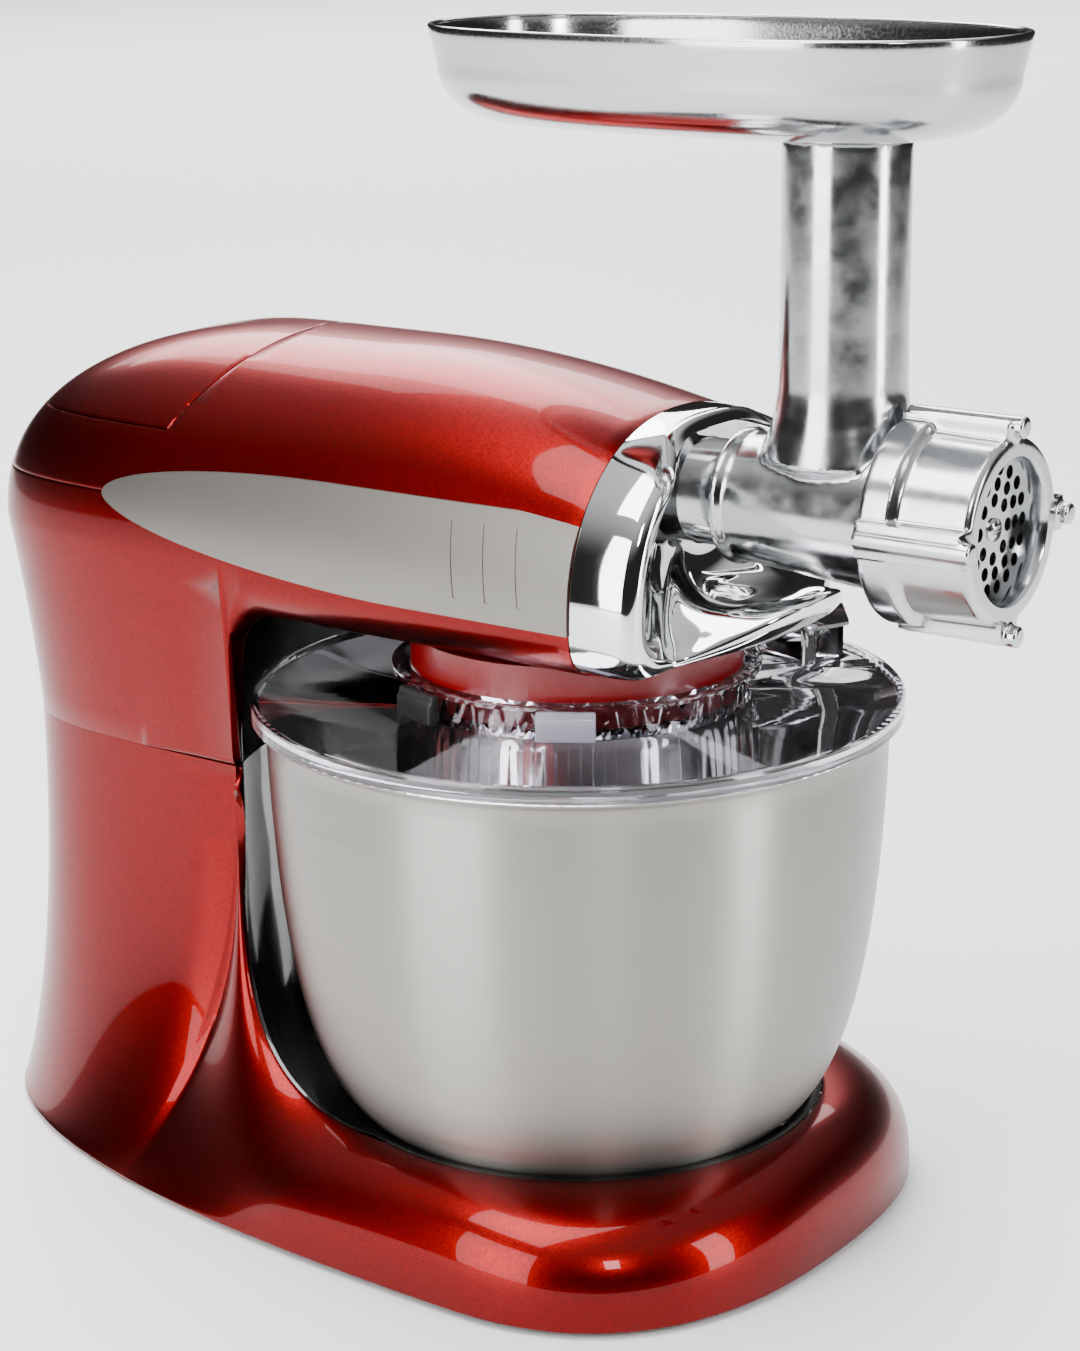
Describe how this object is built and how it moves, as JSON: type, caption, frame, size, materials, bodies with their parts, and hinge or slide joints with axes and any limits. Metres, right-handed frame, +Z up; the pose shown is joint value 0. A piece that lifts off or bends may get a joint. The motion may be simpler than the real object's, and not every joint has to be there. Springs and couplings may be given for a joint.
{
  "type": "stand mixer",
  "caption": "Stand mixer with a tilting head, steel bowl, clear splash guard and a meat grinder with tray on its front drive.",
  "frame": {"origin": "middle of the footprint, at the counter under the rubber feet", "axes": "+Z up, the grinder and the head's nose point along -Y, the column stands at +Y, the controls are on +X"},
  "size_m": [0.244, 0.4498, 0.4435],
  "materials": {
    "red_metallic": "high gloss metallic red lacquer on moulded shells",
    "red_plastic": "gloss red plastic",
    "black_gloss": "gloss black plastic",
    "black_matte": "fine satin black plastic",
    "rubber_black": "matt",
    "satin_silver": "fine satin silver trim",
    "chrome": "mirror",
    "cast_aluminium": "polished casting",
    "steel_brushed": "brushed round the axis",
    "steel_bright": "ground bright",
    "steel_grey": "plain pressed steel",
    "gear_brass": "machined",
    "copper_winding": "steel stack with enamelled winding",
    "carbon": "matt carbon",
    "clear_plastic": "clear moulded plastic",
    "smoke_plastic": "translucent grey plastic",
    "circuit_board": "coated board",
    "belt_rubber": "matt"
  },
  "bodies": {
    "base": {"base_shell": "red_metallic", "bowl_surround": "black_gloss", "base_plate": "black_matte", "rubber_feet": "rubber_black", "base_screws": "steel_grey", "bowl_seat": "black_matte", "hinge_bracket": "steel_grey", "hinge_pin": "steel_bright", "control_board": "circuit_board", "cable_gland": "rubber_black", "knob_bezel": "chrome", "release_spring": "steel_bright"},
    "knob": {"speed_knob": "black_matte", "knob_spindle": "steel_bright"},
    "button": {"release_button": "black_matte"},
    "head": {"head_lower_shell": "red_metallic", "head_liner": "black_gloss", "head_upper_shell": "red_metallic", "side_panel_left": "satin_silver", "side_panel_right": "satin_silver", "blender_deck": "black_matte", "front_cap": "chrome", "attachment_hub": "cast_aluminium", "motor_stator": "copper_winding", "motor_brushes": "carbon", "gearbox_case": "cast_aluminium", "shaft_bearings": "steel_grey", "ring_gear": "steel_grey", "drive_skirt": "red_plastic", "drive_belt": "belt_rubber", "tilt_bracket": "steel_grey"},
    "motor": {"motor_rotor": "steel_grey", "motor_shaft": "steel_bright", "motor_fan": "black_matte", "motor_pulley": "steel_bright", "blender_coupling": "steel_bright"},
    "lay": {"layshaft": "steel_bright", "belt_wheel": "black_matte", "pinion": "gear_brass"},
    "carrier": {"centre_shaft": "steel_bright", "main_gear": "gear_brass", "bevel_wheel": "gear_brass", "planet_carrier": "cast_aluminium"},
    "tool": {"tool_shaft": "steel_bright", "planet_gear": "gear_brass"},
    "output": {"output_shaft": "steel_bright", "bevel_pinion": "gear_brass"},
    "cover": {"rear_cover": "red_metallic"},
    "bowl": {"bowl": "steel_brushed", "bowl_foot": "steel_brushed"},
    "lid": {"splash_lid": "clear_plastic"},
    "clip_front": {"front_clip": "smoke_plastic"},
    "clip_rear": {"rear_clip": "black_matte"},
    "flap": {"chute_flap": "clear_plastic"},
    "grinder": {"grinder_body": "cast_aluminium", "hole_plate": "steel_bright"},
    "auger": {"auger": "cast_aluminium", "knife": "steel_bright"},
    "nut": {"ring_nut": "cast_aluminium"},
    "tray": {"grinder_tray": "steel_bright"}
  },
  "joints": [
    {"name": "head_tilt", "type": "hinge", "parent": "base", "child": "head", "pos_m": [0, 0.192, 0.165], "axis": [-1, 0, 0], "range_deg": [0, 35]},
    {"name": "speed_turn", "type": "hinge", "parent": "base", "child": "knob", "pos_m": [0.0715, 0.137, 0.09], "axis": [1, 0, 0], "range_deg": [-30, 250]},
    {"name": "release_press", "type": "slide", "parent": "base", "child": "button", "axis": [-1, 0, 0], "range_m": [0, 0.005], "stiffness_N_per_m": 800, "deforming": ["release_spring"]},
    {"name": "carrier_spin", "type": "hinge", "parent": "head", "child": "carrier", "pos_m": [0, -0.043, 0.21], "axis": [0, 0, 1], "continuous": true},
    {"name": "lay_spin", "type": "hinge", "parent": "head", "child": "lay", "pos_m": [0, 0.002, 0.24], "axis": [0, 0, 1], "continuous": true},
    {"name": "motor_spin", "type": "hinge", "parent": "head", "child": "motor", "pos_m": [0, 0.135, 0.206], "axis": [0, 0, 1], "continuous": true},
    {"name": "tool_spin", "type": "hinge", "parent": "carrier", "child": "tool", "pos_m": [0, -0.075, 0.2], "axis": [0, 0, 1], "continuous": true},
    {"name": "output_spin", "type": "hinge", "parent": "head", "child": "output", "pos_m": [0, -0.093, 0.282], "axis": [0, -1, 0], "continuous": true},
    {"name": "cover_lift", "type": "slide", "parent": "head", "child": "cover", "axis": [0, 0, 1], "range_m": [0, 0.03]},
    {"name": "bowl_turn", "type": "hinge", "parent": "base", "child": "bowl", "pos_m": [0, -0.043, 0.023], "axis": [0, 0, 1], "range_deg": [0, 30]},
    {"name": "lid_turn", "type": "hinge", "parent": "head", "child": "lid", "pos_m": [0, -0.043, 0.2], "axis": [0, 0, 1], "range_deg": [-4, 4]},
    {"name": "front_clip_out", "type": "slide", "parent": "lid", "child": "clip_front", "axis": [-0.848, -0.5299, 0], "range_m": [0, 0.003]},
    {"name": "rear_clip_out", "type": "slide", "parent": "lid", "child": "clip_rear", "axis": [-0.9511, 0.309, 0], "range_m": [0, 0.003]},
    {"name": "flap_open", "type": "hinge", "parent": "lid", "child": "flap", "pos_m": [0.08645, -0.07447, 0.212], "axis": [-0.342, -0.9397, 0], "range_deg": [0, 40]},
    {"name": "grinder_pull", "type": "slide", "parent": "head", "child": "grinder", "axis": [0, -1, 0], "range_m": [0, 0.04]},
    {"name": "auger_spin", "type": "hinge", "parent": "grinder", "child": "auger", "pos_m": [0, -0.163, 0.282], "axis": [0, -1, 0], "continuous": true},
    {"name": "nut_turn", "type": "hinge", "parent": "grinder", "child": "nut", "pos_m": [0, -0.203, 0.282], "axis": [0, -1, 0], "range_deg": [0, 90]},
    {"name": "tray_lift", "type": "slide", "parent": "grinder", "child": "tray", "axis": [0, 0, 1], "range_m": [0, 0.03]}
  ],
  "couplings": [
    {"joint": "lay_spin", "follows": "carrier_spin", "ratio": -5},
    {"joint": "motor_spin", "follows": "carrier_spin", "ratio": -18.75},
    {"joint": "tool_spin", "follows": "carrier_spin", "ratio": -3},
    {"joint": "output_spin", "follows": "carrier_spin", "ratio": 1},
    {"joint": "auger_spin", "follows": "carrier_spin", "ratio": 1}
  ]
}
